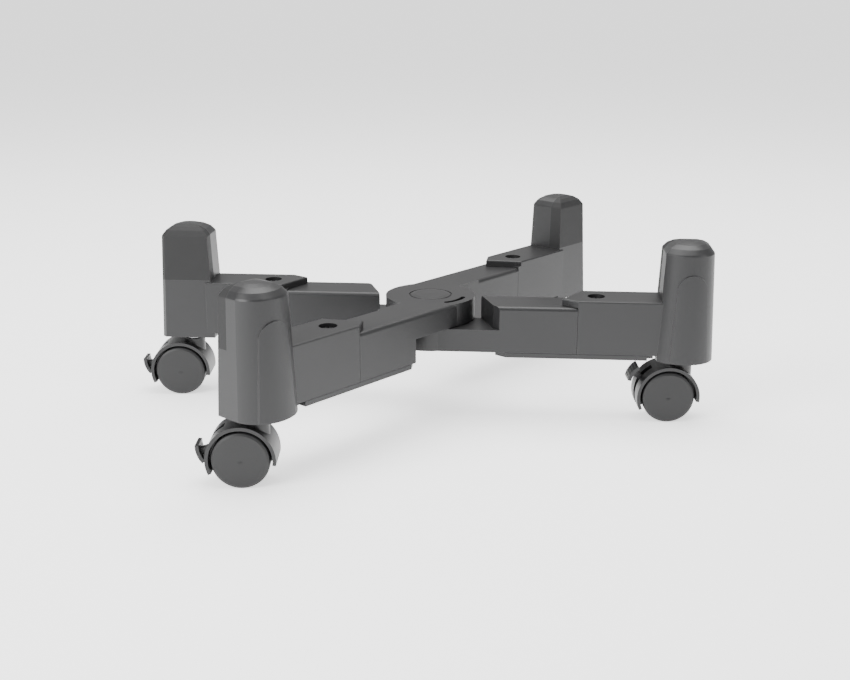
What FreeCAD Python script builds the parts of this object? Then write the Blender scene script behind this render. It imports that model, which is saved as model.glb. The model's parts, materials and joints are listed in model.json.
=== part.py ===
import FreeCAD, Part
import math
import os
import Sketcher

# Adjustable rolling stand for a computer tower.
# Frame: Z up, floor at Z = 0, origin on the scissor pivot axis at floor level,
# X along the tower's length, -Y to the front.  Millimetres.
#
# Each corner is described in its own arm frame: u runs outward along the arm, v runs
# from the arm's inner wall (v = 0, on a line through the pivot) to its long-side wall.
# Front right and rear left are mirror images of front left and rear right.

doc = FreeCAD.newDocument("tower_stand")
sheet = doc.addObject("Spreadsheet::Sheet", "Dims")

DRIVING = [
    ("half_angle", 26.5),       # rail direction from the X axis
    ("arm_width", 34),          # width of a rail
    ("rail_low", 54),           # underside of the rails
    ("rail_top", 90),           # top of the rails and of the hub
    ("rail_end", 113.7),        # outer end of a rail
    ("rail_wall", 3),
    ("rail_round", 3),          # rounding of the rail's long top edges
    ("hub_radius", 35),
    ("lap_gap", 0.8),           # height left for the washer between the half laps
    ("pivot_radius", 5),
    ("running_gap", 0.05),      # radial clearance of a turning fit
    ("slide_gap", 0.3),         # clearance all round a sliding fit
    ("cap_radius", 17),
    ("slot_radius", 27),        # stop slot's centre line
    ("slot_half_width", 1.9),
    ("slot_half_angle", 22),
    ("stop_pin_radius", 1.5),
    ("sleeve_start", 114),      # inner end of the corner's side walls
    ("nose_tip", 102),          # innermost point of the raised nose plate
    ("nose_top", 95.5),
    ("screw_u", 128),
    ("screw_well_radius", 6.7),
    ("bar_start", 54),
    ("bar_end", 160),
    ("bar_wall", 3),
    ("foot_start", 52),
    ("foot_end", 172),
    ("foot_inset", 10),         # foot plate's inner edge, from the inner wall
    ("corner_low", 50),         # underside of the corner posts
    ("post_u", 196),            # centre of the post's plan section
    ("post_v", 18),
    ("post_shoulder", 132),     # where the straight taper ends and the crown begins
    ("post_height", 141),
    ("pad_depth", 13),          # pad covers the post from its inner wall to here
    ("pad_low", 97),
    ("stem_u", 195),
    ("stem_v", 17),
    ("socket_radius", 8),
    ("socket_depth", 30),
    ("shank_radius", 5),
    ("pin_radius", 3.5),
    ("neck_radius", 8),
    ("neck_top", 45.8),
    ("trail", 11),              # wheel axle behind the swivel axis
    ("swivel_rest", -22),       # caster's heading at rest
    ("wheel_radius", 20),
    ("wheel_inner", 5.8),       # wheel's inner face, from the caster's middle
    ("wheel_width", 8),
    ("axle_radius", 3),
    ("hood_radius", 24),
    ("hood_wall", 2.4),
    ("hood_half", 14),
    ("web_half", 5.3),
    ("lever_back", 13),         # brake hinge behind and above the axle
    ("lever_up", 8),
    ("lever_pin_radius", 1.25),
    ("lever_reach", 15.5),
    ("brake_swing", 55),
]
for row, (alias, number) in enumerate(DRIVING, start=1):
    sheet.set("A%d" % row, alias)
    sheet.set("B%d" % row, str(number))
    sheet.setAlias("B%d" % row, alias)
doc.recompute()

V = FreeCAD.Vector
EXPORTS = []


def bound(text):
    """Expression text with every @name pointing at the sheet."""
    return str(text).replace("@", "Dims.")


def val(text):
    """The number an expression stands for now."""
    found = sheet.evalExpression(bound(text))
    return float(getattr(found, "Value", found))


def bind(obj, prop, text):
    obj.setExpression(prop, bound(text))


def bind_base(obj, x, y, z):
    bind(obj, "Placement.Base.x", x)
    bind(obj, "Placement.Base.y", y)
    bind(obj, "Placement.Base.z", z)


def box(name, x0, x1, y0, y1, z0, z1):
    obj = doc.addObject("Part::Box", name)
    bind(obj, "Length", "(%s) - (%s)" % (x1, x0))
    bind(obj, "Width", "(%s) - (%s)" % (y1, y0))
    bind(obj, "Height", "(%s) - (%s)" % (z1, z0))
    bind_base(obj, x0, y0, z0)
    return obj


def upright(name, x, y, z0, z1, radius):
    """Cylinder standing on Z."""
    obj = doc.addObject("Part::Cylinder", name)
    bind(obj, "Radius", radius)
    bind(obj, "Height", "(%s) - (%s)" % (z1, z0))
    bind_base(obj, x, y, z0)
    return obj


def crosswise(name, x, z, y0, y1, radius):
    """Cylinder lying along Y."""
    obj = doc.addObject("Part::Cylinder", name)
    bind(obj, "Radius", radius)
    bind(obj, "Height", "(%s) - (%s)" % (y1, y0))
    obj.Placement = FreeCAD.Placement(V(0, 0, 0), FreeCAD.Rotation(V(1, 0, 0), -90))
    bind_base(obj, x, y0, z)
    return obj


def fuse(name, *shapes):
    obj = doc.addObject("Part::MultiFuse", name)
    obj.Shapes = list(shapes)
    return obj


def cut(name, base, *tools):
    obj = doc.addObject("Part::Cut", name)
    obj.Base = base
    obj.Tool = tools[0] if len(tools) == 1 else fuse(name + "_tools", *tools)
    return obj


def common(name, first, second):
    obj = doc.addObject("Part::Common", name)
    obj.Base = first
    obj.Tool = second
    return obj


def flipped(name, source, normal):
    """Mirror image in the plane through the origin with this normal."""
    obj = doc.addObject("Part::Mirroring", name)
    obj.Source = source
    obj.Normal = normal
    obj.Base = V(0, 0, 0)
    return obj


def fill_profile(sketch, corners, radii=None):
    """Closed outline through corners given as expression pairs.

    radii maps the index of a corner to the expression of the radius of an arc that
    runs from it to the next corner, bulging to the right of that chord.
    """
    radii = radii or {}
    points = [V(val(x), val(y), 0) for x, y in corners]
    count = len(points)
    for i, start in enumerate(points):
        end = points[(i + 1) % count]
        if i not in radii:
            sketch.addGeometry(Part.LineSegment(start, end), False)
            continue
        radius = val(radii[i])
        chord = end.sub(start)
        half = chord.Length / 2.0
        side = V(chord.y, -chord.x, 0).normalize()
        rise = radius - math.sqrt(radius * radius - half * half)
        middle = start.add(chord.multiply(0.5)).add(side.multiply(rise))
        sketch.addGeometry(Part.Arc(start, middle, end), False)
    first = {}
    last = {}
    for i in range(count):
        first[i], last[i] = 1, 2
        geometry = sketch.Geometry[i]
        if i in radii and geometry.StartPoint.distanceToPoint(points[i]) > 1e-6:
            first[i], last[i] = 2, 1
    for i in range(count):
        after = (i + 1) % count
        sketch.addConstraint(Sketcher.Constraint("Coincident", i, last[i], after, first[after]))
    for i, (x, y) in enumerate(corners):
        for kind, text in (("DistanceX", x), ("DistanceY", y)):
            index = sketch.addConstraint(
                Sketcher.Constraint(kind, -1, 1, i, first[i], val(text)))
            sketch.setExpression("Constraints[%d]" % index, bound(text))
    for i, text in radii.items():
        index = sketch.addConstraint(Sketcher.Constraint("Radius", i, val(text)))
        sketch.setExpression("Constraints[%d]" % index, bound(text))
    return sketch


def prism(name, corners, z0, z1, radii=None):
    """Outline in plan, raised from z0 to z1."""
    sketch = fill_profile(doc.addObject("Sketcher::SketchObject", name + "_outline"),
                          corners, radii)
    bind(sketch, "Placement.Base.z", z0)
    obj = doc.addObject("Part::Extrusion", name)
    obj.Base = sketch
    obj.DirMode = "Custom"
    obj.Dir = V(0, 0, 1)
    obj.Solid = True
    bind(obj, "LengthFwd", "(%s) - (%s)" % (z1, z0))
    return obj


def side_prism(name, corners, y0, y1, radii=None):
    """Outline in the X-Z plane, carried from y0 to y1."""
    sketch = doc.addObject("Sketcher::SketchObject", name + "_outline")
    fill_profile(sketch, corners, radii)
    sketch.Placement = FreeCAD.Placement(V(0, 0, 0), FreeCAD.Rotation(V(1, 0, 0), 90))
    bind(sketch, "Placement.Base.y", y0)
    obj = doc.addObject("Part::Extrusion", name)
    obj.Base = sketch
    obj.DirMode = "Custom"
    obj.Dir = V(0, 1, 0)
    obj.Solid = True
    bind(obj, "LengthFwd", "(%s) - (%s)" % (y1, y0))
    return obj


def turned(name, corners):
    """Body of revolution about Z from (radius, height) corners."""
    body = doc.addObject("PartDesign::Body", name)
    sketch = body.newObject("Sketcher::SketchObject", name + "_section")
    plane = [f for f in body.Origin.OriginFeatures if f.Role == "XZ_Plane"][0]
    sketch.AttachmentSupport = [(plane, "")]
    sketch.MapMode = "FlatFace"
    fill_profile(sketch, corners)
    spin = body.newObject("PartDesign::Revolution", name + "_turn")
    spin.Profile = (sketch, [""])
    spin.ReferenceAxis = (sketch, ["V_Axis"])
    spin.Angle = 360
    body.Tip = spin
    return body


def rounded(name, base, radius, wanted):
    """Fillet on every straight edge of base that wanted(edge) picks."""
    doc.recompute()
    obj = doc.addObject("Part::Fillet", name)
    obj.Base = base
    size = val(radius)
    obj.Edges = [(i, size, size) for i, edge in enumerate(base.Shape.Edges, start=1)
                 if wanted(edge)]
    return obj


def finish(obj, label, placement=None):
    obj.Label = label
    if placement is not None:
        obj.Placement = placement
    EXPORTS.append((obj, label))
    return obj


def hexagon(flats):
    """Corners of a hexagon about the origin, by its width across flats."""
    reach = "(%s) / 2 / cos(30)" % flats
    return [("%s * cos(%d)" % (reach, 60 * k), "%s * sin(%d)" % (reach, 60 * k))
            for k in range(6)]


# ---------------------------------------------------------------- rails and pivot

def arm_half(name, lap_low, lap_high):
    """One hollow arm with the strip that ties it to the hub."""
    width = "@arm_width"
    block = prism(name + "_block",
                  [("40", "0"), ("@rail_end", "0"), ("@rail_end", width), ("55", width),
                   ("50", width + " - 5")],
                  "@rail_low", "@rail_top", {})
    strip = prism(name + "_strip",
                  [("-4", "0"), ("60", "0"), ("60", width), ("0", width)], lap_low, lap_high)

    def long_top(edge):
        span = edge.BoundBox
        flat = span.ZLength < 1e-6 and abs(span.ZMin - val("@rail_top")) < 1e-6
        outer = span.YMin > 1 or span.XMin > 39
        return flat and outer and span.YLength < 1e-6 and span.XLength > 40

    block = rounded(name + "_soft_block", block, "@rail_round", long_top)
    if lap_high == "@rail_top":
        strip = rounded(name + "_soft_strip", strip, "@rail_round", long_top)
    soft = fuse(name + "_solid", block, strip)
    bore = box(name + "_bore", "@bar_start - 1", "@rail_end + 1",
               "@rail_wall", width + " - @rail_wall",
               "@rail_low + @rail_wall", "@rail_top - @rail_wall")
    return cut(name, soft, bore)


def both_arms(name, lap_low, lap_high):
    """Hub disc with an arm each way, the second turned half round."""
    arm = arm_half(name + "_arm", lap_low, lap_high)
    other = flipped(name + "_flip", flipped(name + "_flop", arm, V(1, 0, 0)), V(0, 1, 0))
    disc = upright(name + "_disc", "0", "0", lap_low, lap_high, "@hub_radius")
    return fuse(name + "_whole", disc, arm, other)


def stop_slot(name, low, high):
    """Curved slot in the upper hub disc that the stop pin runs in."""
    outer = upright(name + "_outer", "0", "0", low, high, "@slot_radius + @slot_half_width")
    inner = upright(name + "_inner", "0", "0", low + " - 1", high + " + 1",
                    "@slot_radius - @slot_half_width")
    bind(outer, "Angle", "2 * @slot_half_angle")
    outer.Placement.Rotation = FreeCAD.Rotation(V(0, 0, 1), -90 - val("@slot_half_angle"))
    parts = [cut(name + "_band", outer, inner)]
    for end, sign in (("left", "-"), ("right", "")):
        parts.append(upright(name + "_" + end,
                             "%s@slot_radius * sin(@slot_half_angle)" % sign,
                             "-@slot_radius * cos(@slot_half_angle)",
                             low, high, "@slot_half_width"))
    return fuse(name, *parts)


def lap_level():
    return "(@rail_low + @rail_top) / 2"


def build_upper_rail():
    low = lap_level() + " + @lap_gap / 2"
    body = both_arms("upper", low, "@rail_top")
    bore = upright("upper_pivot_bore", "0", "0", "@rail_low", "@rail_top",
                   "@pivot_radius + @running_gap")
    seat = upright("upper_head_seat", "0", "0", "@rail_top - 6.5", "@rail_top", "10")
    well = upright("upper_cap_well", "0", "0", "@rail_top - 3", "@rail_top + 1",
                   "@cap_radius")
    slot = stop_slot("upper_slot", "@rail_low", "@rail_top + 1")
    rail = cut("upper_rail_solid", body, bore, seat, well, slot)
    turn = FreeCAD.Rotation(V(0, 0, 1), val("@half_angle"))
    finish(rail, "upper_rail", FreeCAD.Placement(V(0, 0, 0), turn))


def build_lower_rail():
    high = lap_level() + " - @lap_gap / 2"
    body = both_arms("lower", "@rail_low", high)
    pin_angle = "(90 - 2 * @half_angle)"
    pin = upright("lower_stop_pin", "@slot_radius * cos(%s)" % pin_angle,
                  "@slot_radius * sin(%s)" % pin_angle, high + " - 2",
                  "@rail_top - 2", "@stop_pin_radius")
    bore = upright("lower_pivot_bore", "0", "0", "@rail_low - 1", "@rail_top",
                   "@pivot_radius")
    pocket = prism("lower_nut_pocket", hexagon("14"), "@rail_low - 1", "@rail_low + 7")
    plain = cut("lower_rail_plain", fuse("lower_with_pin", body, pin), bore, pocket)
    rail = flipped("lower_rail_solid", plain, V(0, 1, 0))
    turn = FreeCAD.Rotation(V(0, 0, 1), -val("@half_angle"))
    finish(rail, "lower_rail", FreeCAD.Placement(V(0, 0, 0), turn))


def build_pivot():
    lap = lap_level()
    bolt = turned("bolt", [("0", "@rail_low + 1"), ("@pivot_radius - 0.6", "@rail_low + 1"),
                           ("@pivot_radius", "@rail_low + 1.6"),
                           ("@pivot_radius", "@rail_top - 6.4"), ("9", "@rail_top - 6.4"),
                           ("9", "@rail_top - 4.4"), ("8", "@rail_top - 3.4"),
                           ("0", "@rail_top - 3.4")])
    finish(bolt, "pivot_bolt")
    nut_block = prism("nut_block", hexagon("13.6"), "@rail_low + 1.5", "@rail_low + 7")
    nut_hole = upright("nut_hole", "0", "0", "@rail_low", "@rail_low + 8", "@pivot_radius")
    finish(cut("nut", nut_block, nut_hole), "pivot_nut",
           FreeCAD.Placement(V(0, 0, 0), FreeCAD.Rotation(V(0, 0, 1), -val("@half_angle"))))
    half = "@lap_gap / 2"
    washer = turned("washer", [("@pivot_radius + 0.2", lap + " - " + half),
                               ("22", lap + " - " + half),
                               ("22", lap + " + " + half + " - 0.05"),
                               ("@pivot_radius + 0.2", lap + " + " + half + " - 0.05")])
    finish(washer, "pivot_washer")
    cap = turned("cap", [("0", "@rail_top - 3"), ("@cap_radius - 0.1", "@rail_top - 3"),
                         ("@cap_radius - 0.1", "@rail_top - 0.6"),
                         ("@cap_radius - 0.9", "@rail_top - 0.6"),
                         ("@cap_radius - 1.6", "@rail_top + 0.2"),
                         ("@cap_radius - 5", "@rail_top + 0.8"), ("0", "@rail_top + 1.1")])
    finish(cap, "hub_cap", FreeCAD.Placement(
        V(0, 0, 0), FreeCAD.Rotation(V(0, 0, 1), val("@half_angle"))))


# ---------------------------------------------------------------- corners

# Plan section of a post about its centre: flat inner wall and outer end, the
# long-side face bulging.  The radii belong to the arcs that start at corners 3 and 4.
SECTION = [(-22, -18), (18, -18), (21, -15), (21, 5), (0, 24.5), (-22, 16)]
SECTION_ARCS = {3: 22, 4: 28}
POST_LEVELS = [("@corner_low", 1.0), ("@post_shoulder", 0.86), ("@post_shoulder + 1.2", 0.83),
               ("@post_height - 4.5", 0.71), ("@post_height - 2", 0.52),
               ("@post_height - 0.6", 0.31), ("@post_height", 0.1)]


def post_solid(name, levels):
    """Tapered post through scaled copies of the plan section."""
    rings = []
    for i, (level, scale) in enumerate(levels):
        sketch = doc.addObject("Sketcher::SketchObject", "%s_ring%d" % (name, i))
        corners = [("@post_u + %s" % (x * scale), "@post_v + %s" % (y * scale))
                   for x, y in SECTION]
        arcs = {k: "%s" % (r * scale) for k, r in SECTION_ARCS.items()}
        fill_profile(sketch, corners, arcs)
        bind(sketch, "Placement.Base.z", level)
        rings.append(sketch)
    loft = doc.addObject("Part::Loft", name)
    loft.Sections = rings
    loft.Solid = True
    loft.Ruled = True
    return loft


def arch_face(name, post):
    """Raised arch on the post's long-side face."""
    bigger = post_solid(name + "_outer", [("@corner_low + 1", 1.05), ("@post_shoulder", 0.905)])
    arch = side_prism(name + "_arch",
                      [("@post_u - 13", "@corner_low + 1"), ("@post_u + 15", "@corner_low + 1"),
                       ("@post_u + 12", "@post_shoulder - 24"),
                       ("@post_u - 10", "@post_shoulder - 24")],
                      "@post_v + 6", "@post_v + 40", {2: "11.05"})
    return common(name, bigger, arch)


def build_housing(name):
    """Sleeve, raised nose plate and post of one corner, moulded in one."""
    width = "@arm_width"
    nose = prism(name + "_nose",
                 [("@nose_tip", width + " - 8"), ("@nose_tip + 16", "0"),
                  ("@post_u - 16", "0"), ("@post_u - 16", width),
                  ("@nose_tip + 12", width)],
                 "@rail_top + @slide_gap", "@nose_top")

    def rim(edge):
        box_ = edge.BoundBox
        return abs(box_.ZMin - val("@nose_top")) < 1e-6 and box_.XMax < val("@post_u - 16.1")

    def side_rim(edge):
        box_ = edge.BoundBox
        level = abs(box_.ZMin - val("@nose_top")) < 1e-6 and box_.ZLength < 1e-6
        return rim(edge) or (level and box_.YLength < 1e-6)

    soft_nose = rounded(name + "_soft_nose", nose, "1.2", side_rim)
    low_sleeve = box(name + "_low_sleeve", "@sleeve_start", "@post_u - 16", "0", width,
                     "@rail_low", "@rail_top + @slide_gap + 1")
    post = post_solid(name + "_post", POST_LEVELS)
    arch = arch_face(name + "_face", post)
    solid = fuse(name + "_solid", soft_nose, low_sleeve, post, arch)
    cavity = box(name + "_cavity", "@sleeve_start - 1", "@bar_end",
                 "@rail_wall + @slide_gap", width + " - @rail_wall - @slide_gap",
                 "@rail_low + @rail_wall + @slide_gap", "@rail_top - @rail_wall - @slide_gap")
    well = upright(name + "_well", "@screw_u", width + " / 2", "@nose_top - 4",
                   "@nose_top + 1", "@screw_well_radius")
    hole = upright(name + "_hole", "@screw_u", width + " / 2", "@rail_low + 20",
                   "@nose_top", "2.2")
    socket = upright(name + "_socket", "@stem_u", "@stem_v", "@corner_low - 1",
                     "@corner_low + @socket_depth", "@socket_radius")
    trench_out = upright(name + "_trench_out", "@stem_u", "@stem_v", "@corner_low - 1",
                         "@corner_low + 24", "14.5")
    trench_in = upright(name + "_trench_in", "@stem_u", "@stem_v", "@corner_low - 2",
                        "@corner_low + 25", "@socket_radius + 2.6")
    trench = cut(name + "_trench", trench_out, trench_in)
    pad_room = pad_block(name + "_pad_room")
    return cut(name, solid, cavity, well, hole, socket, trench, pad_room)


def pad_block(name):
    return box(name, "@post_u - 30", "@post_u + 30", "@post_v - 30", "@pad_depth",
               "@pad_low", "@post_height + 5")


def build_pad(name):
    return common(name, post_solid(name + "_post", POST_LEVELS), pad_block(name + "_block"))


def build_bar(name):
    """Hollow bar that slides inside the rail."""
    edge = "@rail_wall + @slide_gap"
    outer = box(name + "_outer", "@bar_start", "@bar_end", edge, "@arm_width - (%s)" % edge,
                "@rail_low + " + edge, "@rail_top - (%s)" % edge)
    wall = edge + " + @bar_wall"
    inner = box(name + "_inner", "@bar_start - 1", "@bar_end + 1", wall,
                "@arm_width - (%s)" % wall, "@rail_low + " + wall, "@rail_top - (%s)" % wall)
    hole = upright(name + "_hole", "@screw_u", "@arm_width / 2", "@rail_low + 20",
                   "@rail_top", "2")
    return cut(name, outer, inner, hole)


def build_foot_plate(name):
    """Flat runner under the long-side edge, cut at a slant at its inner end."""
    edge = "@arm_width"
    outline = [("@foot_start + 8", "@foot_inset"), ("@foot_end", "@foot_inset"),
               ("@foot_end", edge + " - 6"), ("@foot_end - 5", edge + " - 6"),
               ("@foot_end - 5", edge), ("@foot_start + 8", edge), ("@foot_start", edge + " - 6"),
               ("@foot_start", "@foot_inset + 8")]
    plate = prism(name + "_plate", outline, "@corner_low + 0.2", "@rail_low - @slide_gap")
    land = box(name + "_land", "@sleeve_start", "@foot_end - 5.5", "@foot_inset + 1",
               edge + " - 1", "@corner_low + 1", "@rail_low")
    return fuse(name, plate, land)


def build_screw(name):
    """Pan head screw that holds the bar in the corner."""
    top = "@nose_top - 4"
    body = turned(name, [("0", "@nose_top - 16"), ("1.2", "@nose_top - 16"),
                         ("2", "@nose_top - 14.5"), ("2", top), ("5.2", top),
                         ("5.2", top + " + 1.2"), ("4.2", top + " + 2.4"),
                         ("1.8", top + " + 2.8"), ("1.8", top + " + 1.4"), ("0", top + " + 1.2")])
    return body


def build_socket(name):
    low = "@corner_low"
    return turned(name, [("@shank_radius", low + " - 1"), ("@socket_radius + 2", low + " - 1"),
                         ("@socket_radius + 2", low), ("@socket_radius", low),
                         ("@socket_radius", low + " + @socket_depth"),
                         ("0", low + " + @socket_depth"),
                         ("0", low + " + @socket_depth - 2"),
                         ("@shank_radius", low + " + @socket_depth - 2")])


def build_stem(name):
    low = "@corner_low"
    return turned(name, [("0", low + " - 19"), ("@pin_radius - 0.5", low + " - 19"),
                         ("@pin_radius", low + " - 18.5"), ("@pin_radius", "@neck_top + 0.4"),
                         ("6.5", "@neck_top + 0.4"), ("6.5", low + " - 1"),
                         ("@shank_radius", low + " - 1"),
                         ("@shank_radius", low + " + @socket_depth - 4"),
                         ("@shank_radius - 1", low + " + @socket_depth - 3"),
                         ("0", low + " + @socket_depth - 3")])


# ---------------------------------------------------------------- casters
# A caster is drawn about its swivel axis: X points from the wheels to the stem,
# Y along the axle.

def build_hood(name):
    """Fender over both wheels, middle web, neck for the stem and slit for the brake."""
    axle_x = "-@trail"
    axle_z = "@wheel_radius"
    drum = crosswise(name + "_drum", axle_x, axle_z, "-@hood_half", "@hood_half",
                     "@hood_radius")
    neck = upright(name + "_neck", "0", "0", "@wheel_radius + 8", "@neck_top",
                   "@neck_radius")
    block = fuse(name + "_block", drum, neck)
    rooms = []
    for side, y0, y1 in (("near", "-@hood_half - 1", "-@web_half"),
                         ("far", "@web_half", "@hood_half + 1")):
        rooms.append(crosswise(name + "_room_" + side, axle_x, axle_z, y0, y1,
                               "@hood_radius - @hood_wall"))
    below = side_prism(name + "_below",
                       [(axle_x, axle_z), ("-@trail - 40", axle_z + " - 18"),
                        ("-@trail - 40", "-30"), ("30", "-30"), ("30", axle_z + " - 6")],
                       "-@hood_half - 2", "@hood_half + 2")
    shell = cut(name + "_shell", block, below, *rooms)
    boss = crosswise(name + "_boss", axle_x, axle_z, "-@web_half", "@web_half", "6")
    whole = fuse(name + "_whole", shell, boss)
    axle_bore = crosswise(name + "_axle_bore", axle_x, axle_z, "-@hood_half",
                          "@hood_half", "@axle_radius")
    stem_bore = upright(name + "_stem_bore", "0", "0", "@corner_low - 19.5",
                        "@neck_top + 1", "@pin_radius + @running_gap")
    slit = box(name + "_slit", "-@trail - 28", "-@trail - 8", "-3.3", "3.3",
               axle_z + " - 12", axle_z + " + 21")
    pin_bore = crosswise(name + "_pin_bore", "-@trail - @lever_back", axle_z + " + @lever_up",
                         "-@hood_half", "@hood_half", "@lever_pin_radius")
    return cut(name, whole, axle_bore, stem_bore, slit, pin_bore)


def build_wheel(name):
    """Closed outer face, recessed inner face, blind bore for the axle."""
    w = "@wheel_width"
    r = "@wheel_radius"
    bore = "@axle_radius + @running_gap"
    return turned(name, [(bore, "0"), ("6.5", "0"), ("6.5", "3.5"), (r + " - 4", "3.5"),
                         (r + " - 4", "0.4"), (r + " - 1", "0.4"), (r, "1.4"),
                         (r, w + " - 1.8"), (r + " - 0.6", w + " - 0.7"),
                         (r + " - 2", w), ("0", w + " + 0.3"), ("0", w + " - 1.6"),
                         (bore, w + " - 1.6")])


def build_lever(name, pointing):
    """Brake paddle on a short arm; pointing is its direction in degrees."""
    boss = crosswise(name + "_boss", "0", "0", "-2.9", "2.9", "3")
    arm = box(name + "_arm", "-@lever_reach - 1", "0", "-2.9", "2.9", "-1.9", "1.9")
    outer = crosswise(name + "_outer", "0", "0", "-7.5", "7.5", "@lever_reach + 2.6")
    inner = crosswise(name + "_inner", "0", "0", "-8", "8", "@lever_reach")
    wedge = side_prism(name + "_wedge",
                       [("0", "0"), ("-24", "24 * tan(22)"), ("-24", "-24 * tan(22)")],
                       "-8", "8")
    paddle = common(name + "_paddle", cut(name + "_ring", outer, inner), wedge)
    whole = fuse(name + "_whole", boss, arm, paddle)
    hole = crosswise(name + "_hole", "0", "0", "-8", "8",
                     "@lever_pin_radius + @running_gap")
    lever = cut(name, whole, hole)
    tilt = FreeCAD.Rotation(V(0, 1, 0), 180 - pointing)
    lever.Placement = FreeCAD.Placement(V(0, 0, 0), tilt)
    return lever


def build_caster(corner, stem_at, lever_up):
    swivel = FreeCAD.Placement(stem_at, FreeCAD.Rotation(V(0, 0, 1), val("@swivel_rest")))
    axle_at = V(-val("@trail"), 0, val("@wheel_radius"))
    name = corner + "_caster"
    finish(build_hood(name + "_hood"), corner + "_hood", swivel)
    axle = crosswise(name + "_axle", "-@trail", "@wheel_radius",
                     "-@wheel_inner - @wheel_width + 2", "@wheel_inner + @wheel_width - 2",
                     "@axle_radius")
    pin = crosswise(name + "_lever_pin", "-@trail - @lever_back", "@wheel_radius + @lever_up",
                    "-@web_half", "@web_half", "@lever_pin_radius")
    for obj, label in ((axle, "_axle"), (pin, "_brake_pin")):
        holder = fuse(obj.Name + "_placed", obj,
                      crosswise(obj.Name + "_core", "-@trail" if label == "_axle"
                                else "-@trail - @lever_back",
                                "@wheel_radius" if label == "_axle"
                                else "@wheel_radius + @lever_up", "-1", "1", "0.5"))
        finish(holder, corner + label, swivel)
    for side, turn, sign in (("near", 90, -1), ("far", -90, 1)):
        at = axle_at.add(V(0, sign * val("@wheel_inner"), 0))
        local = FreeCAD.Placement(at, FreeCAD.Rotation(V(1, 0, 0), turn))
        finish(build_wheel(name + "_wheel_" + side), "%s_wheel_%s" % (corner, side),
               swivel.multiply(local))
    resting = 200 - (val("@brake_swing") if lever_up else 0)
    lever = build_lever(name + "_lever", resting)
    hinge = axle_at.add(V(-val("@lever_back"), 0, val("@lever_up")))
    local = FreeCAD.Placement(hinge, lever.Placement.Rotation)
    finish(lever, corner + "_brake_lever", swivel.multiply(local))


def build_corner(corner, heading, mirrored, lever_up):
    frame = FreeCAD.Placement(V(0, 0, 0), FreeCAD.Rotation(V(0, 0, 1), heading))
    side = -1 if mirrored else 1
    builders = (("housing", build_housing), ("post_pad", build_pad),
                ("slide_bar", build_bar), ("foot_plate", build_foot_plate))
    for piece, builder in builders:
        solid = builder("%s_%s_solid" % (corner, piece))
        if mirrored:
            solid = flipped("%s_%s_flip" % (corner, piece), solid, V(0, 1, 0))
        finish(solid, "%s_%s" % (corner, piece), frame)
    screw_at = frame.multVec(V(val("@screw_u"), side * val("@arm_width / 2"), 0))
    stem_at = frame.multVec(V(val("@stem_u"), side * val("@stem_v"), 0))
    plain = FreeCAD.Rotation(V(0, 0, 1), 0)
    finish(build_screw(corner + "_screw_body"), corner + "_screw",
           FreeCAD.Placement(screw_at, plain))
    finish(build_socket(corner + "_socket_body"), corner + "_socket",
           FreeCAD.Placement(stem_at, plain))
    finish(build_stem(corner + "_stem_body"), corner + "_stem",
           FreeCAD.Placement(stem_at, plain))
    build_caster(corner, stem_at, lever_up)


def check_and_export():
    doc.recompute()
    for obj in doc.Objects:
        for word in obj.State:
            if word in ("Invalid", "Error"):
                raise RuntimeError("%s is %s" % (obj.Name, word))
    os.makedirs("parts", exist_ok=True)
    for obj, label in EXPORTS:
        shape = obj.Shape
        if shape.isNull() or not shape.isValid() or not shape.Solids:
            raise RuntimeError("%s has no sound shape" % label)
        shape.exportStep("parts/%s.step" % label)


build_lower_rail()
build_upper_rail()
build_pivot()
angle = val("@half_angle")
build_corner("front_left", 180 + angle, False, False)
build_corner("rear_right", angle, False, False)
build_corner("front_right", -angle, True, True)
build_corner("rear_left", 180 - angle, True, False)
check_and_export()
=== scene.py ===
import json
import math

import bmesh
import bpy
from bpy.props import FloatProperty, FloatVectorProperty, IntProperty, PointerProperty
from mathutils import Matrix, Vector


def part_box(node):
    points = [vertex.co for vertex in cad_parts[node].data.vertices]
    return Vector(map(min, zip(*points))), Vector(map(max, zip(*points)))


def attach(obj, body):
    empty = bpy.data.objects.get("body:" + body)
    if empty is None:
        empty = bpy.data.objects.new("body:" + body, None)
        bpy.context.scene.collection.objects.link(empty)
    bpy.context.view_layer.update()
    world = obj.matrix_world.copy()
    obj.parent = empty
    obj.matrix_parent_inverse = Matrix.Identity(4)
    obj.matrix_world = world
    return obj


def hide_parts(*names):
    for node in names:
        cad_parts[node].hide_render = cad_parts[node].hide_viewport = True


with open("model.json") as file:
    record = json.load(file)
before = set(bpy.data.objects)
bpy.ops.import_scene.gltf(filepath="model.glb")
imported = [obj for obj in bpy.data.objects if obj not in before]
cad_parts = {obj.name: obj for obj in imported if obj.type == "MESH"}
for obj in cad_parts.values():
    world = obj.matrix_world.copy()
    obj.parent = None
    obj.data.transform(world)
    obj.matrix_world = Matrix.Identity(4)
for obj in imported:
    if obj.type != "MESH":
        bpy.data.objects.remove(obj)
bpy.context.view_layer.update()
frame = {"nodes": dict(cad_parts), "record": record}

bl_info = {
    "name": "Tower stand",
    "version": (1, 0, 0),
    "blender": (4, 5, 0),
    "location": "3D View > Sidebar > Tower stand",
    "description": "Dresses the rolling tower stand: rails, corners, casters and stage",
    "category": "Object",
}

CORNERS = ("front_left", "front_right", "rear_right", "rear_left")
JOINTS = {joint["name"]: joint for joint in frame["record"]["behaviour"]["joints"]}

# Angles above which an edge stays crisp: carried-over solids, added pieces, bevels.
SOLID_CREASE = math.radians(32)
ADDED_CREASE = math.radians(35)
BEVEL_CREASE = math.radians(40)

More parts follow.
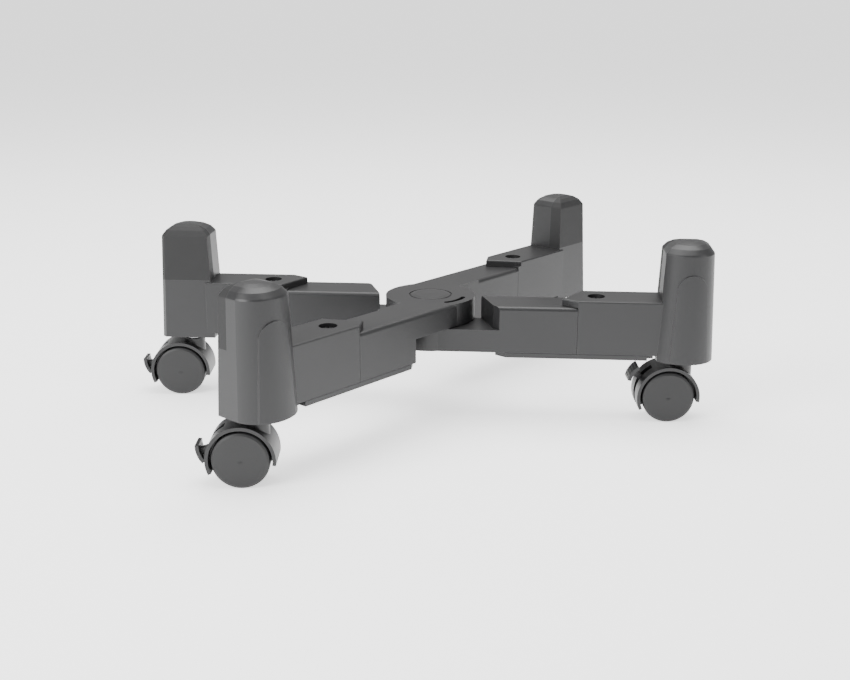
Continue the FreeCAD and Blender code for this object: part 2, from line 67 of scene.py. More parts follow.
# Sizes of the added pieces, in metres.
SCREW = {"Head height": 0.0028, "Shank radius": 0.002, "Cross": 0.0056}
SCREW_UNDERCUT = 0.0030     # head, and the play under it, taken off the shank
POST_RIBS = {"Inner radius": 0.0104, "Outer radius": 0.0147, "Height": 0.018}
POST_RIB_LIFT = 0.0115      # middle of the ribs above the foot of the socket
SPOKES = {"Inner radius": 0.0063, "Outer radius": 0.0162, "Height": 0.0030}
SPOKE_DEPTH = 0.00215       # middle of the spokes inwards from the wheel's middle
GRIP = {"Radius": 0.0179, "Spacing": math.radians(7.5), "Ridge radius": 0.00045,
        "Length": 0.0125}

# Relief and dust of the finishes.
GRAIN_DEPTH = 0.00006
TURNED_DEPTH = 0.00004
TURNED_STRENGTH = 0.12
DUST_COLOUR = (0.30, 0.29, 0.28, 1)
EDGE_HIGHLIGHT_LIFT = 0.02             # paleness the painted edge highlight adds on top of its own colour

# Stage, in metres.
FLOOR_HALF = 28
SEEN_AIR = 2.6              # brightness of the air behind the floor
LAMP_AIM = Vector((0, 0, 0.08))
LAMPS = (                   # name, place, size, share of the lamp power
    ("overhead", (0.1, 0.2, 1.5), 1.4, 1.0),
    ("left side", (-1.5, -0.5, 0.9), 0.9, 0.9),
    ("front right", (1.3, -1.4, 1.0), 0.9, 0.25))
SENSOR_WIDTH = 36
VIEW_REACH = 30


# ------------------------------------------------------------------ settings

class MouldedSettings(bpy.types.PropertyGroup):
    """Moulded plastic, rubber and steel."""
    shell_colour: FloatVectorProperty(
        name="Shell colour", description="Rails, corners and hub", subtype="COLOR",
        size=3, min=0, max=1, default=(0.0105, 0.0105, 0.0112))
    caster_colour: FloatVectorProperty(
        name="Caster colour", description="Hoods and levers", subtype="COLOR",
        size=3, min=0, max=1, default=(0.0070, 0.0070, 0.0076))
    wheel_colour: FloatVectorProperty(
        name="Wheel colour", description="Wheel faces and treads", subtype="COLOR",
        size=3, min=0, max=1, default=(0.0100, 0.0100, 0.0104))
    pad_colour: FloatVectorProperty(
        name="Pad colour", description="Rubber pads on the posts", subtype="COLOR",
        size=3, min=0, max=1, default=(0.0055, 0.0055, 0.0059))
    steel_colour: FloatVectorProperty(
        name="Steel colour", description="Screws, stems and axles", subtype="COLOR",
        size=3, min=0, max=1, default=(0.42, 0.42, 0.43))
    shell_roughness: FloatProperty(
        name="Shell roughness", description="Satin of the moulded shell",
        min=0, max=1, default=0.42)
    grain_size: FloatProperty(
        name="Grain size", description="Grains per metre of the spark-eroded texture",
        min=100, max=9000, default=2600)
    edge_round: FloatProperty(
        name="Edge round", description="Rounding of moulded edges", unit="LENGTH",
        min=0, max=0.003, default=0.0007)


class RibSettings(bpy.types.PropertyGroup):
    """Ribs, spokes and grip ridges."""
    post_ribs: IntProperty(
        name="Post ribs", description="Ribs round each caster socket", min=3, max=24,
        default=8)
    spokes: IntProperty(
        name="Wheel spokes", description="Ribs inside each wheel", min=3, max=24,
        default=8)
    ridges: IntProperty(
        name="Lever ridges", description="Grip ridges on each brake paddle", min=1,
        max=15, default=5)
    rib_thickness: FloatProperty(
        name="Rib thickness", description="Thickness of the inner ribs",
        unit="LENGTH", min=0.0004, max=0.003, default=0.0011)
    lever_down: FloatProperty(
        name="Lever down", description="Heading of a paddle that is down, in degrees",
        min=150, max=220, default=200)
    lever_swing: FloatProperty(
        name="Lever swing", description="Turn between paddle down and up, in degrees",
        min=0, max=80, default=55)


class StageSettings(bpy.types.PropertyGroup):
    """Floor, lamps and camera."""
    floor_colour: FloatVectorProperty(
        name="Floor colour", description="Plain pale floor", subtype="COLOR",
        size=3, min=0, max=1, default=(0.96, 0.96, 0.96))
    camera_back: FloatProperty(
        name="Camera back", description="Distance from the hub along the ground",
        unit="LENGTH", min=0.3, max=3, default=0.9115)
    camera_side: FloatProperty(
        name="Camera side", description="Sideways offset to the hub", unit="LENGTH",
        min=-0.2, max=0.2, default=0.0043)
    camera_height: FloatProperty(
        name="Camera height", description="Height above the floor", unit="LENGTH",
        min=0.05, max=2, default=0.331)
    camera_turn: FloatProperty(
        name="Camera turn", description="Turn round the object, in degrees",
        min=-90, max=90, default=22)
    camera_down: FloatProperty(
        name="Camera down", description="Tilt below the horizon, in degrees",
        min=0, max=60, default=17)
    lens: FloatProperty(
        name="Lens", description="Focal length in millimetres", min=20, max=200,
        default=50.8)
    air_strength: FloatProperty(
        name="Air strength", description="Even light from all round", min=0, max=2,
        default=0.60)
    floor_glow: FloatProperty(
        name="Floor glow", description="Light the floor gives off, to stay pale",
        min=0, max=3, default=1.15)
    lamp_power: FloatProperty(
        name="Lamp power", description="Strength of the overhead lamp", min=0, max=200,
        default=36)


# ------------------------------------------------------------------ shader groups

def shader_group(name, inputs, outputs):
    """Empty shader group with its sockets; returns group, entry, exit, add, join."""
    group = bpy.data.node_groups.new(name, "ShaderNodeTree")
    for label, kind, value in inputs:
        sock = group.interface.new_socket(label, in_out="INPUT", socket_type=kind)
        sock.default_value = value
    for label, kind in outputs:
        group.interface.new_socket(label, in_out="OUTPUT", socket_type=kind)
    entry = group.nodes.new("NodeGroupInput")
    leave = group.nodes.new("NodeGroupOutput")

    def add(kind, **settings):
        node = group.nodes.new(kind)
        for key, value in settings.items():
            setattr(node, key, value)
        return node

    return group, entry, leave, add, group.links.new


def make_grain_group():
    """Spark-eroded mould texture: fine pits with a slow drift in gloss."""
    group, entry, leave, add, join = shader_group(
        "mould_grain",
        [("Grain size", "NodeSocketFloat", 2600.0), ("Roughness", "NodeSocketFloat", 0.42),
         ("Drift", "NodeSocketFloat", 0.06)],
        [("Height", "NodeSocketFloat"), ("Roughness", "NodeSocketFloat"),
         ("Dust", "NodeSocketFloat")])
    coord = add("ShaderNodeTexCoord")
    fine = add("ShaderNodeTexNoise")
    fine.inputs["Detail"].default_value = 3
    cells = add("ShaderNodeTexVoronoi")
    broad = add("ShaderNodeTexNoise")
    broad.inputs["Scale"].default_value = 28
    broad.inputs["Detail"].default_value = 4
    join(coord.outputs["Object"], fine.inputs["Vector"])
    join(coord.outputs["Object"], cells.inputs["Vector"])
    join(coord.outputs["Object"], broad.inputs["Vector"])
    join(entry.outputs["Grain size"], fine.inputs["Scale"])
    half = add("ShaderNodeMath", operation="MULTIPLY")
    half.inputs[1].default_value = 0.6
    join(entry.outputs["Grain size"], half.inputs[0])
    join(half.outputs[0], cells.inputs["Scale"])
    mix = add("ShaderNodeMath", operation="MULTIPLY_ADD")
    mix.inputs[1].default_value = 0.5
    join(cells.outputs["Distance"], mix.inputs[0])
    join(fine.outputs["Fac"], mix.inputs[2])
    join(mix.outputs[0], leave.inputs["Height"])
    centred = add("ShaderNodeMath", operation="SUBTRACT")
    centred.inputs[1].default_value = 0.5
    join(broad.outputs["Fac"], centred.inputs[0])
    rough = add("ShaderNodeMath", operation="MULTIPLY_ADD", use_clamp=True)
    join(centred.outputs[0], rough.inputs[0])
    join(entry.outputs["Drift"], rough.inputs[1])
    join(entry.outputs["Roughness"], rough.inputs[2])
    join(rough.outputs[0], leave.inputs["Roughness"])
    geometry = add("ShaderNodeNewGeometry")
    split = add("ShaderNodeSeparateXYZ")
    join(geometry.outputs["Normal"], split.inputs[0])
    dust = add("ShaderNodeMapRange")
    dust.inputs["From Min"].default_value = 0.55
    dust.inputs["From Max"].default_value = 1.0
    dust.inputs["To Max"].default_value = 1.0
    join(split.outputs["Z"], dust.inputs["Value"])
    scatter = add("ShaderNodeMath", operation="MULTIPLY")
    join(dust.outputs["Result"], scatter.inputs[0])
    join(broad.outputs["Fac"], scatter.inputs[1])
    join(scatter.outputs[0], leave.inputs["Dust"])
    return group


def make_edge_highlight_group():
    """Painted highlight where a corner stands proud: 0 on flats, 1 on the edges, broken up by
    noise.
    """
    group, entry, leave, add, join = shader_group(
        "painted_edge_highlight",
        [("Spread", "NodeSocketFloat", 0.0009), ("Breakup", "NodeSocketFloat", 130.0)],
        [("Mask", "NodeSocketFloat")])
    bevel = add("ShaderNodeBevel", samples=4)
    join(entry.outputs["Spread"], bevel.inputs["Radius"])
    geometry = add("ShaderNodeNewGeometry")
    dot = add("ShaderNodeVectorMath", operation="DOT_PRODUCT")
    join(bevel.outputs["Normal"], dot.inputs[0])
    join(geometry.outputs["Normal"], dot.inputs[1])
    bend = add("ShaderNodeMapRange")
    bend.inputs["From Min"].default_value = 0.99
    bend.inputs["From Max"].default_value = 0.80
    join(dot.outputs["Value"], bend.inputs["Value"])
    noise = add("ShaderNodeTexNoise")
    coord = add("ShaderNodeTexCoord")
    join(coord.outputs["Object"], noise.inputs["Vector"])
    join(entry.outputs["Breakup"], noise.inputs["Scale"])
    final = add("ShaderNodeMath", operation="MULTIPLY", use_clamp=True)
    join(bend.outputs["Result"], final.inputs[0])
    join(noise.outputs["Fac"], final.inputs[1])
    join(final.outputs[0], leave.inputs["Mask"])
    return group


def make_brush_group():
    """Fine turned lines on steel."""
    group, entry, leave, add, join = shader_group(
        "turned_lines", [("Roughness", "NodeSocketFloat", 0.32)],
        [("Height", "NodeSocketFloat"), ("Roughness", "NodeSocketFloat")])
    coord = add("ShaderNodeTexCoord")
    stretch = add("ShaderNodeMapping")
    stretch.inputs["Scale"].default_value = (60, 60, 4000)
    noise = add("ShaderNodeTexNoise")
    noise.inputs["Scale"].default_value = 1.0
    noise.inputs["Detail"].default_value = 5
    join(coord.outputs["Object"], stretch.inputs["Vector"])
    join(stretch.outputs["Vector"], noise.inputs["Vector"])
    join(noise.outputs["Fac"], leave.inputs["Height"])
    rough = add("ShaderNodeMath", operation="MULTIPLY_ADD")
    rough.inputs[1].default_value = 0.14
    join(noise.outputs["Fac"], rough.inputs[0])
    join(entry.outputs["Roughness"], rough.inputs[2])
    join(rough.outputs[0], leave.inputs["Roughness"])
    return group


def plastic(name, colour, roughness, grain, bump, edge_highlight, dust_amount, groups):
    """Moulded plastic or rubber: grain, drifting gloss, painted highlights on the edges and a
    little dust.
    """
    material = bpy.data.materials.new(name)
    material.use_nodes = True
    nodes, join = material.node_tree.nodes, material.node_tree.links.new
    shader = nodes["Principled BSDF"]
    shader.inputs["IOR"].default_value = 1.5
    texture = nodes.new("ShaderNodeGroup")
    texture.node_tree = groups["grain"]
    texture.inputs["Grain size"].default_value = grain
    texture.inputs["Roughness"].default_value = roughness
    edges = nodes.new("ShaderNodeGroup")
    edges.node_tree = groups["edge"]
    # Paler colour along the edges by the mask: a painted highlight.
    paler = nodes.new("ShaderNodeMix")
    paler.data_type = "RGBA"
    highlight_colour = [min(1.0, c * (1 + edge_highlight) + EDGE_HIGHLIGHT_LIFT * edge_highlight) for c in colour]
    paler.inputs["A"].default_value = (*colour, 1)
    paler.inputs["B"].default_value = (*highlight_colour, 1)
    join(edges.outputs["Mask"], paler.inputs["Factor"])
    dusty = nodes.new("ShaderNodeMix")
    dusty.data_type = "RGBA"
    dusty.inputs["B"].default_value = DUST_COLOUR
    amount = nodes.new("ShaderNodeMath")
    amount.operation = "MULTIPLY"
    amount.inputs[1].default_value = dust_amount
    join(texture.outputs["Dust"], amount.inputs[0])
    join(amount.outputs[0], dusty.inputs["Factor"])
    join(paler.outputs["Result"], dusty.inputs["A"])
    join(dusty.outputs["Result"], shader.inputs["Base Color"])
    join(texture.outputs["Roughness"], shader.inputs["Roughness"])
    lumps = nodes.new("ShaderNodeBump")
    lumps.inputs["Strength"].default_value = bump
    lumps.inputs["Distance"].default_value = GRAIN_DEPTH
    join(texture.outputs["Height"], lumps.inputs["Height"])
    join(lumps.outputs["Normal"], shader.inputs["Normal"])
    return material


def steel(name, colour, groups):
    """Zinc-plated steel with turned lines."""
    material = bpy.data.materials.new(name)
    material.use_nodes = True
    nodes, join = material.node_tree.nodes, material.node_tree.links.new
    shader = nodes["Principled BSDF"]
    shader.inputs["Metallic"].default_value = 1.0
    shader.inputs["Base Color"].default_value = (*colour, 1)
    lines = nodes.new("ShaderNodeGroup")
    lines.node_tree = groups["brush"]
    join(lines.outputs["Roughness"], shader.inputs["Roughness"])
    lumps = nodes.new("ShaderNodeBump")
    lumps.inputs["Strength"].default_value = TURNED_STRENGTH
    lumps.inputs["Distance"].default_value = TURNED_DEPTH
    join(lines.outputs["Height"], lumps.inputs["Height"])
    join(lumps.outputs["Normal"], shader.inputs["Normal"])
    return material


def finishes():
    """The stand's materials, made once."""
    if "shell satin black" in bpy.data.materials:
        return
    look = bpy.context.scene.stand_moulded
    groups = {"grain": make_grain_group(), "edge": make_edge_highlight_group(),
              "brush": make_brush_group()}
    grain = look.grain_size
    moulded = (     # name, colour, roughness, grain, bump, edge highlight, dust
        ("shell satin black", look.shell_colour, look.shell_roughness, grain, 0.35, 1.3, 0.05),
        ("caster black", look.caster_colour, 0.38, grain, 0.25, 1.0, 0.03),
        ("wheel black", look.wheel_colour, 0.52, grain * 0.6, 0.5, 0.7, 0.03),
        ("pad rubber", look.pad_colour, 0.66, grain * 0.8, 0.5, 0.5, 0.03),
        ("washer nylon", (0.55, 0.54, 0.50), 0.5, grain, 0.2, 0.1, 0.0))
    for row in moulded:
        plastic(*row, groups)
    steel("zinc steel", look.steel_colour, groups)


def paint(piece, material):
    """Gives a piece its one material."""
    piece.data.materials.clear()
    piece.data.materials.append(bpy.data.materials[material])


def dress(node, material, round_by=0.0):
    """Finish of a carried-over solid, with softly rounded moulded edges."""
    piece = frame["nodes"][node]
    paint(piece, material)
    piece.data.shade_smooth()
    piece.data.set_sharp_from_angle(angle=SOLID_CREASE)
    if round_by > 0:
        bevel = piece.modifiers.new("moulded edges", "BEVEL")
        bevel.width = round_by
        bevel.segments = 2
        bevel.limit_method = "ANGLE"
        bevel.angle_limit = BEVEL_CREASE
        bevel.harden_normals = True
        bevel.use_clamp_overlap = True
    return piece


# ------------------------------------------------------------------ geometry trees

class Tree:
    """Geometry tree being built, with named inputs."""

    def __init__(self, name, inputs):
        self.group = bpy.data.node_groups.new(name, "GeometryNodeTree")
        face = self.group.interface
        face.new_socket("Geometry", in_out="INPUT", socket_type="NodeSocketGeometry")
        for label, kind in inputs:
            face.new_socket(label, in_out="INPUT", socket_type=kind)
        face.new_socket("Geometry", in_out="OUTPUT", socket_type="NodeSocketGeometry")
        self.entry = self.add("NodeGroupInput").outputs
        self.leave = self.add("NodeGroupOutput")

    def add(self, kind, **settings):
        node = self.group.nodes.new(kind)
        for key, value in settings.items():
            setattr(node, key, value)
        return node

    def join(self, start, end):
        self.group.links.new(start, end)

    def sum(self, operation, first, second):
        """Math node on sockets or plain numbers."""
        node = self.add("ShaderNodeMath", operation=operation)
        for slot, source in zip(node.inputs, (first, second)):
            if isinstance(source, (int, float)):
                slot.default_value = source
            else:
                self.join(source, slot)
        return node.outputs[0]

    def vector(self, x, y, z):
        node = self.add("ShaderNodeCombineXYZ")
        for slot, source in zip(node.inputs, (x, y, z)):
            if isinstance(source, (int, float)):
                slot.default_value = source
            else:
                self.join(source, slot)
        return node.outputs[0]

    def close(self, geometry):
        """Realize the copies, set the finish and leave the tree."""
        real = self.add("GeometryNodeRealizeInstances")
        coat = self.add("GeometryNodeSetMaterial")
        self.join(geometry, real.inputs["Geometry"])
        self.join(real.outputs["Geometry"], coat.inputs["Geometry"])
        self.join(self.entry["Material"], coat.inputs["Material"])
        self.join(coat.outputs["Geometry"], self.leave.inputs["Geometry"])
        return self.group


def ring_tree():
    """Flat ribs standing round a circle, each along its own radius."""
    tree = Tree("ribs_round_a_ring", [
        ("Count", "NodeSocketInt"), ("Inner radius", "NodeSocketFloat"),
        ("Outer radius", "NodeSocketFloat"), ("Thickness", "NodeSocketFloat"),
        ("Height", "NodeSocketFloat"), ("Material", "NodeSocketMaterial")])
    entry = tree.entry
    length = tree.sum("SUBTRACT", entry["Outer radius"], entry["Inner radius"])
    reach = tree.sum("ADD", entry["Outer radius"], entry["Inner radius"])
    halfway = tree.sum("MULTIPLY", reach, 0.5)
    rib = tree.add("GeometryNodeMeshCube")
    tree.join(tree.vector(length, entry["Thickness"], entry["Height"]), rib.inputs["Size"])
    shift = tree.add("GeometryNodeTransform")
    tree.join(rib.outputs["Mesh"], shift.inputs["Geometry"])
    tree.join(tree.vector(halfway, 0, 0), shift.inputs["Translation"])
    line = tree.add("GeometryNodeMeshLine", mode="OFFSET")
    tree.join(entry["Count"], line.inputs["Count"])
    line.inputs["Offset"].default_value = (0, 0, 0)
    index = tree.add("GeometryNodeInputIndex")
    step = tree.sum("DIVIDE", 2 * math.pi, entry["Count"])
    angle = tree.sum("MULTIPLY", index.outputs["Index"], step)
    copies = tree.add("GeometryNodeInstanceOnPoints")
    tree.join(line.outputs["Mesh"], copies.inputs["Points"])
    tree.join(shift.outputs["Geometry"], copies.inputs["Instance"])
    tree.join(tree.vector(0, 0, angle), copies.inputs["Rotation"])
    return tree.close(copies.outputs["Instances"])


def ridge_tree():
    """Rounded grip ridges fanned over an arc about the Y axis."""
    tree = Tree("grip_ridges", [
        ("Count", "NodeSocketInt"), ("Radius", "NodeSocketFloat"),
        ("Spacing", "NodeSocketFloat"), ("Ridge radius", "NodeSocketFloat"),
        ("Length", "NodeSocketFloat"), ("Material", "NodeSocketMaterial")])
    entry = tree.entry
    rod = tree.add("GeometryNodeMeshCylinder")
    rod.inputs["Vertices"].default_value = 12
    tree.join(entry["Ridge radius"], rod.inputs["Radius"])
    tree.join(entry["Length"], rod.inputs["Depth"])
    lay = tree.add("GeometryNodeTransform")
    tree.join(rod.outputs["Mesh"], lay.inputs["Geometry"])
    lay.inputs["Rotation"].default_value = (math.pi / 2, 0, 0)
    out = tree.add("GeometryNodeTransform")
    tree.join(lay.outputs["Geometry"], out.inputs["Geometry"])
    tree.join(tree.vector(entry["Radius"], 0, 0), out.inputs["Translation"])
    line = tree.add("GeometryNodeMeshLine", mode="OFFSET")
    tree.join(entry["Count"], line.inputs["Count"])
    line.inputs["Offset"].default_value = (0, 0, 0)
    index = tree.add("GeometryNodeInputIndex")
    last = tree.sum("SUBTRACT", entry["Count"], 1)
    centred = tree.sum("SUBTRACT", index.outputs["Index"], tree.sum("MULTIPLY", last, 0.5))
    copies = tree.add("GeometryNodeInstanceOnPoints")
    tree.join(line.outputs["Mesh"], copies.inputs["Points"])
    tree.join(out.outputs["Geometry"], copies.inputs["Instance"])
    turn = tree.sum("MULTIPLY", centred, entry["Spacing"])
    tree.join(tree.vector(0, turn, 0), copies.inputs["Rotation"])
    return tree.close(copies.outputs["Instances"])


def screw_tree():
    """Pan head with a cross recess on a plain shank, top of the head at the origin."""
    tree = Tree("cross_screw", [
        ("Head radius", "NodeSocketFloat"), ("Head height", "NodeSocketFloat"),
        ("Shank radius", "NodeSocketFloat"), ("Length", "NodeSocketFloat"),
        ("Cross", "NodeSocketFloat"), ("Material", "NodeSocketMaterial")])
    entry = tree.entry
    dome = tree.add("GeometryNodeMeshUVSphere")
    dome.inputs["Segments"].default_value = 48
    dome.inputs["Rings"].default_value = 24
    tree.join(entry["Head radius"], dome.inputs["Radius"])
    flat = tree.add("GeometryNodeTransform")
    tree.join(dome.outputs["Mesh"], flat.inputs["Geometry"])
    squash = tree.sum("DIVIDE", entry["Head height"], entry["Head radius"])
    tree.join(tree.vector(1.0, 1.0, squash), flat.inputs["Scale"])
    drop = tree.sum("MULTIPLY", entry["Head height"], -1)
    tree.join(tree.vector(0, 0, drop), flat.inputs["Translation"])
    cutters = []
    below = tree.add("GeometryNodeMeshCube")
    wide = tree.sum("MULTIPLY", entry["Head radius"], 3)
    deep = tree.sum("MULTIPLY", entry["Head height"], 2)
    tree.join(tree.vector(wide, wide, deep), below.inputs["Size"])
    under = tree.add("GeometryNodeTransform")
    tree.join(below.outputs["Mesh"], under.inputs["Geometry"])
    tree.join(tree.vector(0, 0, tree.sum("MULTIPLY", entry["Head height"], -2)),
              under.inputs["Translation"])
    cutters.append(under.outputs["Geometry"])
    for turned in (False, True):
        bar = tree.add("GeometryNodeMeshCube")
        thin = tree.sum("MULTIPLY", entry["Cross"], 0.24)
        sizes = (thin, entry["Cross"]) if turned else (entry["Cross"], thin)
        tree.join(tree.vector(sizes[0], sizes[1], entry["Head height"]), bar.inputs["Size"])
        cutters.append(bar.outputs["Mesh"])
    head = flat.outputs["Geometry"]
    for cutter in cutters:
        carve = tree.add("GeometryNodeMeshBoolean", operation="DIFFERENCE", solver="EXACT")
        tree.join(head, carve.inputs["Mesh 1"])
        tree.join(cutter, carve.inputs["Mesh 2"])
        head = carve.outputs["Mesh"]
    shank = tree.add("GeometryNodeMeshCylinder")
    tree.join(entry["Shank radius"], shank.inputs["Radius"])
    tree.join(entry["Length"], shank.inputs["Depth"])
    hang = tree.add("GeometryNodeTransform")
    tree.join(shank.outputs["Mesh"], hang.inputs["Geometry"])
    low = tree.sum("SUBTRACT", tree.sum("MULTIPLY", entry["Length"], -0.5),
                   tree.sum("MULTIPLY", entry["Head height"], 0.95))
    tree.join(tree.vector(0, 0, low), hang.inputs["Translation"])
    whole = tree.add("GeometryNodeJoinGeometry")
    tree.join(head, whole.inputs["Geometry"])
    tree.join(hang.outputs["Geometry"], whole.inputs["Geometry"])
    return tree.close(whole.outputs["Geometry"])


def tree_named(name, maker):
    """Geometry tree by name, made at first use."""
    return bpy.data.node_groups.get(name) or maker()


def grown(name, group, settings, place, body, material):
    """Piece grown by a geometry tree, turned into a plain mesh and set in place."""
    seed = bpy.data.objects.new(name + "_seed", bpy.data.meshes.new(name + "_seed"))
    bpy.context.scene.collection.objects.link(seed)
    modifier = seed.modifiers.new("grow", "NODES")
    modifier.node_group = group
    values = dict(settings, Material=bpy.data.materials[material])
    for item in group.interface.items_tree:
        if item.in_out == "INPUT" and item.name in values:
            modifier[item.identifier] = values[item.name]
    seed.update_tag()
    graph = bpy.context.evaluated_depsgraph_get()
    mesh = bpy.data.meshes.new_from_object(seed.evaluated_get(graph))
    seed.modifiers.remove(modifier)
    bpy.data.objects.remove(seed)
    if not mesh.polygons:
        raise RuntimeError("nothing grew for " + name)
    mesh.transform(place)
    if place.determinant() < 0:
        mesh.flip_normals()
    mesh.shade_smooth()
    mesh.set_sharp_from_angle(angle=ADDED_CREASE)
    mesh.name = name
    piece = bpy.data.objects.new(name, mesh)
    bpy.context.scene.collection.objects.link(piece)
    paint(piece, material)
    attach(piece, body)
    return piece


# ------------------------------------------------------------------ placing helpers

def middle(node):
    """Middle of a solid's box."""
    low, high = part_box(node)
    return (Vector(low) + Vector(high)) / 2


def along(axis, across, origin):
    """Placement whose Z follows axis and X follows across as nearly as it can."""
    z = Vector(axis).normalized()
    x = Vector(across) - z * Vector(across).dot(z)
    x.normalize()
    y = z.cross(x)
    turn = Matrix((x, y, z)).transposed().to_4x4()
    return Matrix.Translation(origin) @ turn


# ------------------------------------------------------------------ operators

class STAND_OT_rails(bpy.types.Operator):
    """Finish the two crossed rails and the pivot between them"""
    bl_idname = "stand.rails"
    bl_label = "Rails and pivot"

    def execute(self, context):
        finishes()
        edge = context.scene.stand_moulded.edge_round
        for node in ("lower_rail", "upper_rail"):
            dress(node, "shell satin black", edge)
        dress("hub_cap", "shell satin black", edge * 0.5)
        dress("pivot_bolt", "zinc steel")
        dress("pivot_nut", "zinc steel")
        dress("pivot_washer", "washer nylon")
        return {"FINISHED"}


class STAND_OT_corners(bpy.types.Operator):
    """Finish the telescoping corners and add screws and the ribs under the posts"""
    bl_idname = "stand.corners"
    bl_label = "Corners"

    def execute(self, context):
        finishes()
        edge = context.scene.stand_moulded.edge_round
        ribs = context.scene.stand_ribs
        screws = tree_named("cross_screw", screw_tree)
        rings = tree_named("ribs_round_a_ring", ring_tree)
        for corner in CORNERS:
            dress(corner + "_housing", "shell satin black", edge)
            dress(corner + "_post_pad", "pad rubber", edge * 0.5)
            dress(corner + "_slide_bar", "shell satin black", edge * 0.5)
            dress(corner + "_foot_plate", "shell satin black", edge * 0.6)
            dress(corner + "_socket", "caster black")
            dress(corner + "_stem", "zinc steel")
            low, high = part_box(corner + "_screw")
            centre = middle(corner + "_screw")
            radius = (high[0] - low[0]) / 2
            axis = JOINTS[corner + "_extend"]["axis"]
            top = Vector((centre.x, centre.y, high[2]))
            head = grown(corner + "_cross_screw", screws,
                         {"Head radius": radius,
                          "Length": high[2] - low[2] - SCREW_UNDERCUT, **SCREW},
                         along((0, 0, 1), (axis[1], 1 - axis[0] ** 2, 0), top),
                         corner + "_corner", "caster black")
            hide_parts(corner + "_screw")
            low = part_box(corner + "_socket")[0]
            centre = middle(corner + "_socket")
            under = Vector((centre.x, centre.y, low[2] + POST_RIB_LIFT))
            grown(corner + "_post_ribs", rings,
                  {"Count": ribs.post_ribs, "Thickness": ribs.rib_thickness, **POST_RIBS},
                  along((0, 0, 1), axis, under), corner + "_corner",
                  "shell satin black")
        return {"FINISHED"}


class STAND_OT_casters(bpy.types.Operator):
    """Finish the casters and add wheel spokes and grip ridges on the brake levers"""
    bl_idname = "stand.casters"
    bl_label = "Casters"

    def execute(self, context):
        finishes()
        ribs = context.scene.stand_ribs
        edge = context.scene.stand_moulded.edge_round
        rings = tree_named("ribs_round_a_ring", ring_tree)
        ridges = tree_named("grip_ridges", ridge_tree)
        for corner in CORNERS:
            dress(corner + "_hood", "caster black", edge * 0.6)
            dress(corner + "_brake_lever", "caster black", edge * 0.8)
            dress(corner + "_axle", "zinc steel")
            dress(corner + "_brake_pin", "zinc steel")
            for side in ("near", "far"):
                node = "%s_wheel_%s" % (corner, side)
                dress(node, "wheel black")
                spin = JOINTS["%s_%s_spin" % (corner, side)]
                axis = Vector(spin["axis"])
                hub = Vector(spin["pos_m"])
                centre = middle(node)
                out = 1 if (centre - hub).dot(axis) > 0 else -1
                place = along(axis * out, (0, 0, 1), centre - axis * out * SPOKE_DEPTH)
                grown("%s_%s_spokes" % (corner, side), rings,
                      {"Count": ribs.spokes, "Thickness": ribs.rib_thickness, **SPOKES},
                      place, "%s_%s_wheel" % (corner, side), "wheel black")
            self.grip(corner, ridges, ribs)
        return {"FINISHED"}

    def grip(self, corner, group, ribs):
        """Ridges on the outside of one paddle, whichever way it points."""
        press = JOINTS[corner + "_brake_press"]
        axis = Vector(press["axis"]).normalized()
        forward = axis.cross(Vector((0, 0, 1)))
        raised = press["range_deg"][0] < 0
        heading = math.radians(ribs.lever_down - (ribs.lever_swing if raised else 0))
        towards = forward * math.cos(heading) + Vector((0, 0, 1)) * math.sin(heading)
        place = along(axis.cross(towards), towards, Vector(press["pos_m"]))
        grown(corner + "_lever_grip", group, {"Count": ribs.ridges, **GRIP},
              place, corner + "_brake", "caster black")


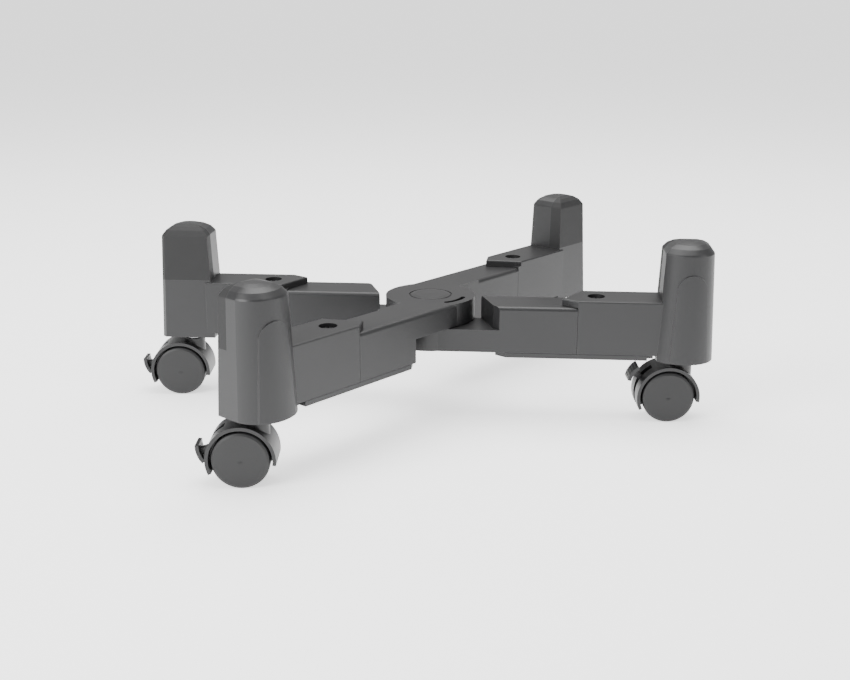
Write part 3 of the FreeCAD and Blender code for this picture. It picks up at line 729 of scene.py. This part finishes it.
class STAND_OT_stage(bpy.types.Operator):
    """Build the pale floor, the soft lamps and the camera"""
    bl_idname = "stand.stage"
    bl_label = "Stage"

    def execute(self, context):
        settings = context.scene.stand_stage
        self.floor(settings)
        self.lamps(context.scene, settings)
        self.camera(context.scene, settings)
        return {"FINISHED"}

    def floor(self, settings):
        """Wide plain floor that stays pale."""
        grid = bmesh.new()
        bmesh.ops.create_grid(grid, x_segments=1, y_segments=1, size=FLOOR_HALF)
        mesh = bpy.data.meshes.new("floor")
        grid.to_mesh(mesh)
        grid.free()
        floor = bpy.data.objects.new("floor", mesh)
        bpy.context.scene.collection.objects.link(floor)
        material = bpy.data.materials.new("plain pale floor")
        material.use_nodes = True
        shader = material.node_tree.nodes["Principled BSDF"]
        shader.inputs["Base Color"].default_value = (*settings.floor_colour, 1)
        shader.inputs["Roughness"].default_value = 0.9
        shader.inputs["Specular IOR Level"].default_value = 0.0
        shader.inputs["Emission Color"].default_value = (1, 1, 1, 1)
        shader.inputs["Emission Strength"].default_value = settings.floor_glow
        mesh.materials.append(material)

    def lamps(self, scene, settings):
        """Even air and three soft lamps."""
        world = bpy.data.worlds.new("studio air")
        world.use_nodes = True
        nodes, join = world.node_tree.nodes, world.node_tree.links.new
        air = nodes["Background"]
        air.inputs["Color"].default_value = (1, 1, 1, 1)
        seen = nodes.new("ShaderNodeLightPath")
        level = nodes.new("ShaderNodeMapRange")
        level.inputs["To Min"].default_value = settings.air_strength
        level.inputs["To Max"].default_value = SEEN_AIR
        join(seen.outputs["Is Camera Ray"], level.inputs["Value"])
        join(level.outputs["Result"], air.inputs["Strength"])
        scene.world = world
        for name, spot, size, share in LAMPS:
            lamp = bpy.data.lights.new(name, "AREA")
            lamp.shape = "SQUARE"
            lamp.size = size
            lamp.energy = settings.lamp_power * share
            holder = bpy.data.objects.new(name, lamp)
            holder.location = spot
            aim = LAMP_AIM - Vector(spot)
            holder.rotation_euler = aim.to_track_quat("-Z", "Y").to_euler()
            scene.collection.objects.link(holder)

    def camera(self, scene, settings):
        """Camera placed about the hub."""
        turn = math.radians(settings.camera_turn)
        down = math.radians(settings.camera_down)
        ahead = Vector((math.sin(turn), math.cos(turn), 0))
        right = Vector((math.cos(turn), -math.sin(turn), 0))
        hub = middle("hub_cap")
        spot = hub - ahead * settings.camera_back - right * settings.camera_side
        spot.z = settings.camera_height
        data = bpy.data.cameras.new("camera")
        data.lens = settings.lens
        data.sensor_width = SENSOR_WIDTH
        data.clip_end = VIEW_REACH
        holder = bpy.data.objects.new("camera", data)
        look = ahead * math.cos(down) - Vector((0, 0, math.sin(down)))
        facing = look.to_track_quat("-Z", "Y").to_matrix().to_4x4()
        holder.matrix_world = Matrix.Translation(spot) @ facing
        scene.collection.objects.link(holder)
        scene.camera = holder


class STAND_PT_panel(bpy.types.Panel):
    """Settings of the stand and the buttons that build it"""
    bl_idname = "STAND_PT_panel"
    bl_label = "Tower stand"
    bl_space_type = "VIEW_3D"
    bl_region_type = "UI"
    bl_category = "Tower stand"

    def draw(self, context):
        scene = context.scene
        for settings, buttons in ((scene.stand_moulded, ("stand.rails", "stand.corners")),
                                  (scene.stand_ribs, ("stand.casters",)),
                                  (scene.stand_stage, ("stand.stage",))):
            part = self.layout.box()
            for name in settings.__annotations__:
                part.prop(settings, name)
            for button in buttons:
                part.operator(button)


CLASSES = (MouldedSettings, RibSettings, StageSettings, STAND_OT_rails, STAND_OT_corners,
           STAND_OT_casters, STAND_OT_stage, STAND_PT_panel)


def register():
    for item in CLASSES:
        bpy.utils.register_class(item)
    bpy.types.Scene.stand_moulded = PointerProperty(type=MouldedSettings)
    bpy.types.Scene.stand_ribs = PointerProperty(type=RibSettings)
    bpy.types.Scene.stand_stage = PointerProperty(type=StageSettings)


def unregister():
    del bpy.types.Scene.stand_stage
    del bpy.types.Scene.stand_ribs
    del bpy.types.Scene.stand_moulded
    for item in reversed(CLASSES):
        bpy.utils.unregister_class(item)


def main():
    register()
    for build in (bpy.ops.stand.rails, bpy.ops.stand.corners, bpy.ops.stand.casters,
                  bpy.ops.stand.stage):
        if build() != {"FINISHED"}:
            raise RuntimeError("a step of the stand was not finished")


if __name__ == "__main__":
    main()
